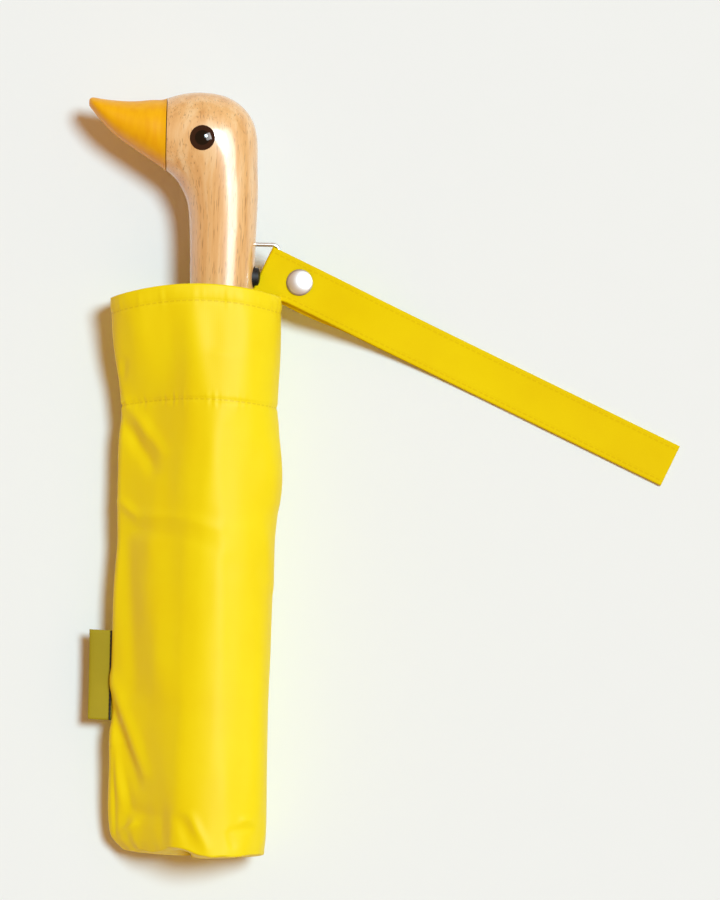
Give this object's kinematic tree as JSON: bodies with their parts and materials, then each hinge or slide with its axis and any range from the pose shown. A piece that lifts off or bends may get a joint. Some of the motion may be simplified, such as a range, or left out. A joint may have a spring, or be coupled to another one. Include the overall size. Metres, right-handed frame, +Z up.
{
  "type": "folding umbrella",
  "caption": "Compact folding umbrella with a carved wooden duck's-head handle, wrist strap and fabric sleeve, for keeping rain off one person.",
  "frame": {"origin": "middle of the bounding box on the table the umbrella lies on", "axes": "+Y along the shaft toward the bird's head, +Z up from the table, the bill points to -X"},
  "size_m": [0.2512, 0.3194, 0.0472],
  "materials": {
    "varnished_wood": "satin varnish",
    "bill_paint": "satin paint on wood",
    "plain_wood": "raw",
    "eye_bead": "gloss",
    "pupil_bead": "gloss",
    "black_plastic": "satin",
    "steel": "bright",
    "nickel": "nickel plate",
    "tube_steel": "black enamel",
    "rib_steel": "black enamel",
    "canopy_cloth": "woven",
    "sleeve_cloth": "woven",
    "label_weave": "woven",
    "strap_cloth": "woven"
  },
  "bodies": {
    "handle": {"wooden_handle": "varnished_wood", "bill": "bill_paint", "bill_dowel": "plain_wood", "eyes": "eye_bead", "pupils": "pupil_bead", "handle_ferrule": "black_plastic", "handle_pin": "steel", "button_bezel": "black_plastic", "button_spring": "steel", "wire_bail": "nickel", "outer_tube": "tube_steel"},
    "button": {"push_button": "black_plastic"},
    "strap": {"wrist_strap": "strap_cloth", "snap_cap": "nickel", "snap_socket": "nickel"},
    "middle": {"middle_tube": "tube_steel"},
    "top": {"top_tube": "tube_steel", "crown": "black_plastic", "crown_cap": "black_plastic", "crown_wire": "steel", "canopy": "canopy_cloth", "main_spring": "steel"},
    "runner": {"runner": "black_plastic", "runner_wire": "steel"},
    "band": {"tie_band": "canopy_cloth"},
    "sleeve": {"sleeve": "sleeve_cloth", "side_label": "label_weave"},
    "main_1": {"main_rib_1": "rib_steel"},
    "stretch_1": {"stretcher_1": "rib_steel"},
    "mid_1": {"mid_rib_1": "rib_steel"},
    "tip_1": {"tip_rib_1": "rib_steel"},
    "main_2": {"main_rib_2": "rib_steel"},
    "stretch_2": {"stretcher_2": "rib_steel"},
    "mid_2": {"mid_rib_2": "rib_steel"},
    "tip_2": {"tip_rib_2": "rib_steel"},
    "main_3": {"main_rib_3": "rib_steel"},
    "stretch_3": {"stretcher_3": "rib_steel"},
    "mid_3": {"mid_rib_3": "rib_steel"},
    "tip_3": {"tip_rib_3": "rib_steel"},
    "main_4": {"main_rib_4": "rib_steel"},
    "stretch_4": {"stretcher_4": "rib_steel"},
    "mid_4": {"mid_rib_4": "rib_steel"},
    "tip_4": {"tip_rib_4": "rib_steel"},
    "main_5": {"main_rib_5": "rib_steel"},
    "stretch_5": {"stretcher_5": "rib_steel"},
    "mid_5": {"mid_rib_5": "rib_steel"},
    "tip_5": {"tip_rib_5": "rib_steel"},
    "main_6": {"main_rib_6": "rib_steel"},
    "stretch_6": {"stretcher_6": "rib_steel"},
    "mid_6": {"mid_rib_6": "rib_steel"},
    "tip_6": {"tip_rib_6": "rib_steel"},
    "main_7": {"main_rib_7": "rib_steel"},
    "stretch_7": {"stretcher_7": "rib_steel"},
    "mid_7": {"mid_rib_7": "rib_steel"},
    "tip_7": {"tip_rib_7": "rib_steel"},
    "main_8": {"main_rib_8": "rib_steel"},
    "stretch_8": {"stretcher_8": "rib_steel"},
    "mid_8": {"mid_rib_8": "rib_steel"},
    "tip_8": {"tip_rib_8": "rib_steel"}
  },
  "joints": [
    {"name": "button_press", "type": "slide", "parent": "handle", "child": "button", "axis": [-1, 0, 0], "range_m": [0, 0.002], "stiffness_N_per_m": 400, "deforming": ["button_spring"]},
    {"name": "strap_swing", "type": "hinge", "parent": "handle", "child": "strap", "pos_m": [-0.0448, 0.0855, 0.0236], "axis": [0, -1, 0], "range_deg": [0, 110]},
    {"name": "shaft_extend", "type": "slide", "parent": "handle", "child": "middle", "axis": [0, -1, 0], "range_m": [0, 0.15], "deforming": ["main_spring"]},
    {"name": "top_follow", "type": "slide", "parent": "middle", "child": "top", "axis": [0, -1, 0], "range_m": [0, 0.15]},
    {"name": "band_follow", "type": "slide", "parent": "top", "child": "band", "axis": [0, -1, 0], "range_m": [0, 0.31]},
    {"name": "sleeve_slide", "type": "slide", "parent": "band", "child": "sleeve", "axis": [0, -1, 0], "range_m": [0, 0.25]},
    {"name": "frame_open", "type": "hinge", "parent": "top", "child": "main_1", "pos_m": [-0.0591, -0.15, 0.0236], "axis": [0, 0, -1], "range_deg": [0, 80], "deforming": ["canopy", "tie_band", "sleeve"]},
    {"name": "stretcher_hinge_1", "type": "hinge", "parent": "main_1", "child": "stretch_1", "pos_m": [-0.0591, -0.051, 0.0236], "axis": [0, 0, -1], "range_deg": [-161, 1]},
    {"name": "knee_hinge_1", "type": "hinge", "parent": "main_1", "child": "mid_1", "pos_m": [-0.0566, 0.04, 0.0236], "axis": [0, 0, -1], "range_deg": [-195, 1]},
    {"name": "elbow_hinge_1", "type": "hinge", "parent": "mid_1", "child": "tip_1", "pos_m": [-0.0542, -0.135, 0.0236], "axis": [0, 0, -1], "range_deg": [-1, 167]},
    {"name": "main_hinge_2", "type": "hinge", "parent": "top", "child": "main_2", "pos_m": [-0.06188, -0.15, 0.03032], "axis": [0.7071, 0, -0.7071], "range_deg": [-1, 81]},
    {"name": "stretcher_hinge_2", "type": "hinge", "parent": "main_2", "child": "stretch_2", "pos_m": [-0.06188, -0.051, 0.03032], "axis": [0.7071, 0, -0.7071], "range_deg": [-161, 1]},
    {"name": "knee_hinge_2", "type": "hinge", "parent": "main_2", "child": "mid_2", "pos_m": [-0.06011, 0.04, 0.03209], "axis": [0.7071, 0, -0.7071], "range_deg": [-195, 1]},
    {"name": "elbow_hinge_2", "type": "hinge", "parent": "mid_2", "child": "tip_2", "pos_m": [-0.05842, -0.135, 0.03378], "axis": [0.7071, 0, -0.7071], "range_deg": [-1, 167]},
    {"name": "main_hinge_3", "type": "hinge", "parent": "top", "child": "main_3", "pos_m": [-0.0686, -0.15, 0.0331], "axis": [1, 0, 0], "range_deg": [-1, 81]},
    {"name": "stretcher_hinge_3", "type": "hinge", "parent": "main_3", "child": "stretch_3", "pos_m": [-0.0686, -0.051, 0.0331], "axis": [1, 0, 0], "range_deg": [-161, 1]},
    {"name": "knee_hinge_3", "type": "hinge", "parent": "main_3", "child": "mid_3", "pos_m": [-0.0686, 0.04, 0.0356], "axis": [1, 0, 0], "range_deg": [-195, 1]},
    {"name": "elbow_hinge_3", "type": "hinge", "parent": "mid_3", "child": "tip_3", "pos_m": [-0.0686, -0.135, 0.038], "axis": [1, 0, 0], "range_deg": [-1, 167]},
    {"name": "main_hinge_4", "type": "hinge", "parent": "top", "child": "main_4", "pos_m": [-0.07532, -0.15, 0.03032], "axis": [0.7071, 0, 0.7071], "range_deg": [-1, 81]},
    {"name": "stretcher_hinge_4", "type": "hinge", "parent": "main_4", "child": "stretch_4", "pos_m": [-0.07532, -0.051, 0.03032], "axis": [0.7071, 0, 0.7071], "range_deg": [-161, 1]},
    {"name": "knee_hinge_4", "type": "hinge", "parent": "main_4", "child": "mid_4", "pos_m": [-0.07709, 0.04, 0.03209], "axis": [0.7071, 0, 0.7071], "range_deg": [-195, 1]},
    {"name": "elbow_hinge_4", "type": "hinge", "parent": "mid_4", "child": "tip_4", "pos_m": [-0.07878, -0.135, 0.03378], "axis": [0.7071, 0, 0.7071], "range_deg": [-1, 167]},
    {"name": "main_hinge_5", "type": "hinge", "parent": "top", "child": "main_5", "pos_m": [-0.0781, -0.15, 0.0236], "axis": [0, 0, 1], "range_deg": [-1, 81]},
    {"name": "stretcher_hinge_5", "type": "hinge", "parent": "main_5", "child": "stretch_5", "pos_m": [-0.0781, -0.051, 0.0236], "axis": [0, 0, 1], "range_deg": [-161, 1]},
    {"name": "knee_hinge_5", "type": "hinge", "parent": "main_5", "child": "mid_5", "pos_m": [-0.0806, 0.04, 0.0236], "axis": [0, 0, 1], "range_deg": [-195, 1]},
    {"name": "elbow_hinge_5", "type": "hinge", "parent": "mid_5", "child": "tip_5", "pos_m": [-0.083, -0.135, 0.0236], "axis": [0, 0, 1], "range_deg": [-1, 167]},
    {"name": "main_hinge_6", "type": "hinge", "parent": "top", "child": "main_6", "pos_m": [-0.07532, -0.15, 0.01688], "axis": [-0.7071, 0, 0.7071], "range_deg": [-1, 81]},
    {"name": "stretcher_hinge_6", "type": "hinge", "parent": "main_6", "child": "stretch_6", "pos_m": [-0.07532, -0.051, 0.01688], "axis": [-0.7071, 0, 0.7071], "range_deg": [-161, 1]},
    {"name": "knee_hinge_6", "type": "hinge", "parent": "main_6", "child": "mid_6", "pos_m": [-0.07709, 0.04, 0.01511], "axis": [-0.7071, 0, 0.7071], "range_deg": [-195, 1]},
    {"name": "elbow_hinge_6", "type": "hinge", "parent": "mid_6", "child": "tip_6", "pos_m": [-0.07878, -0.135, 0.01342], "axis": [-0.7071, 0, 0.7071], "range_deg": [-1, 167]},
    {"name": "main_hinge_7", "type": "hinge", "parent": "top", "child": "main_7", "pos_m": [-0.0686, -0.15, 0.0141], "axis": [-1, 0, 0], "range_deg": [-1, 81]},
    {"name": "stretcher_hinge_7", "type": "hinge", "parent": "main_7", "child": "stretch_7", "pos_m": [-0.0686, -0.051, 0.0141], "axis": [-1, 0, 0], "range_deg": [-161, 1]},
    {"name": "knee_hinge_7", "type": "hinge", "parent": "main_7", "child": "mid_7", "pos_m": [-0.0686, 0.04, 0.0116], "axis": [-1, 0, 0], "range_deg": [-195, 1]},
    {"name": "elbow_hinge_7", "type": "hinge", "parent": "mid_7", "child": "tip_7", "pos_m": [-0.0686, -0.135, 0.0092], "axis": [-1, 0, 0], "range_deg": [-1, 167]},
    {"name": "main_hinge_8", "type": "hinge", "parent": "top", "child": "main_8", "pos_m": [-0.06188, -0.15, 0.01688], "axis": [-0.7071, 0, -0.7071], "range_deg": [-1, 81]},
    {"name": "stretcher_hinge_8", "type": "hinge", "parent": "main_8", "child": "stretch_8", "pos_m": [-0.06188, -0.051, 0.01688], "axis": [-0.7071, 0, -0.7071], "range_deg": [-161, 1]},
    {"name": "knee_hinge_8", "type": "hinge", "parent": "main_8", "child": "mid_8", "pos_m": [-0.06011, 0.04, 0.01511], "axis": [-0.7071, 0, -0.7071], "range_deg": [-195, 1]},
    {"name": "elbow_hinge_8", "type": "hinge", "parent": "mid_8", "child": "tip_8", "pos_m": [-0.05842, -0.135, 0.01342], "axis": [-0.7071, 0, -0.7071], "range_deg": [-1, 167]},
    {"name": "runner_level", "type": "hinge", "parent": "stretch_1", "child": "runner", "pos_m": [-0.0591, 0.048, 0.0236], "axis": [0, 0, -1], "range_deg": [-1, 81]}
  ],
  "couplings": [
    {"joint": "top_follow", "follows": "shaft_extend", "ratio": 1},
    {"joint": "band_follow", "follows": "frame_open", "m_per_rad": 0.215},
    {"joint": "stretcher_hinge_1", "follows": "frame_open", "ratio": -2},
    {"joint": "knee_hinge_1", "follows": "frame_open", "ratio": -2.425},
    {"joint": "elbow_hinge_1", "follows": "frame_open", "ratio": 2.075},
    {"joint": "main_hinge_2", "follows": "frame_open", "ratio": 1},
    {"joint": "stretcher_hinge_2", "follows": "frame_open", "ratio": -2},
    {"joint": "knee_hinge_2", "follows": "frame_open", "ratio": -2.425},
    {"joint": "elbow_hinge_2", "follows": "frame_open", "ratio": 2.075},
    {"joint": "main_hinge_3", "follows": "frame_open", "ratio": 1},
    {"joint": "stretcher_hinge_3", "follows": "frame_open", "ratio": -2},
    {"joint": "knee_hinge_3", "follows": "frame_open", "ratio": -2.425},
    {"joint": "elbow_hinge_3", "follows": "frame_open", "ratio": 2.075},
    {"joint": "main_hinge_4", "follows": "frame_open", "ratio": 1},
    {"joint": "stretcher_hinge_4", "follows": "frame_open", "ratio": -2},
    {"joint": "knee_hinge_4", "follows": "frame_open", "ratio": -2.425},
    {"joint": "elbow_hinge_4", "follows": "frame_open", "ratio": 2.075},
    {"joint": "main_hinge_5", "follows": "frame_open", "ratio": 1},
    {"joint": "stretcher_hinge_5", "follows": "frame_open", "ratio": -2},
    {"joint": "knee_hinge_5", "follows": "frame_open", "ratio": -2.425},
    {"joint": "elbow_hinge_5", "follows": "frame_open", "ratio": 2.075},
    {"joint": "main_hinge_6", "follows": "frame_open", "ratio": 1},
    {"joint": "stretcher_hinge_6", "follows": "frame_open", "ratio": -2},
    {"joint": "knee_hinge_6", "follows": "frame_open", "ratio": -2.425},
    {"joint": "elbow_hinge_6", "follows": "frame_open", "ratio": 2.075},
    {"joint": "main_hinge_7", "follows": "frame_open", "ratio": 1},
    {"joint": "stretcher_hinge_7", "follows": "frame_open", "ratio": -2},
    {"joint": "knee_hinge_7", "follows": "frame_open", "ratio": -2.425},
    {"joint": "elbow_hinge_7", "follows": "frame_open", "ratio": 2.075},
    {"joint": "main_hinge_8", "follows": "frame_open", "ratio": 1},
    {"joint": "stretcher_hinge_8", "follows": "frame_open", "ratio": -2},
    {"joint": "knee_hinge_8", "follows": "frame_open", "ratio": -2.425},
    {"joint": "elbow_hinge_8", "follows": "frame_open", "ratio": 2.075},
    {"joint": "runner_level", "follows": "frame_open", "ratio": 1}
  ]
}
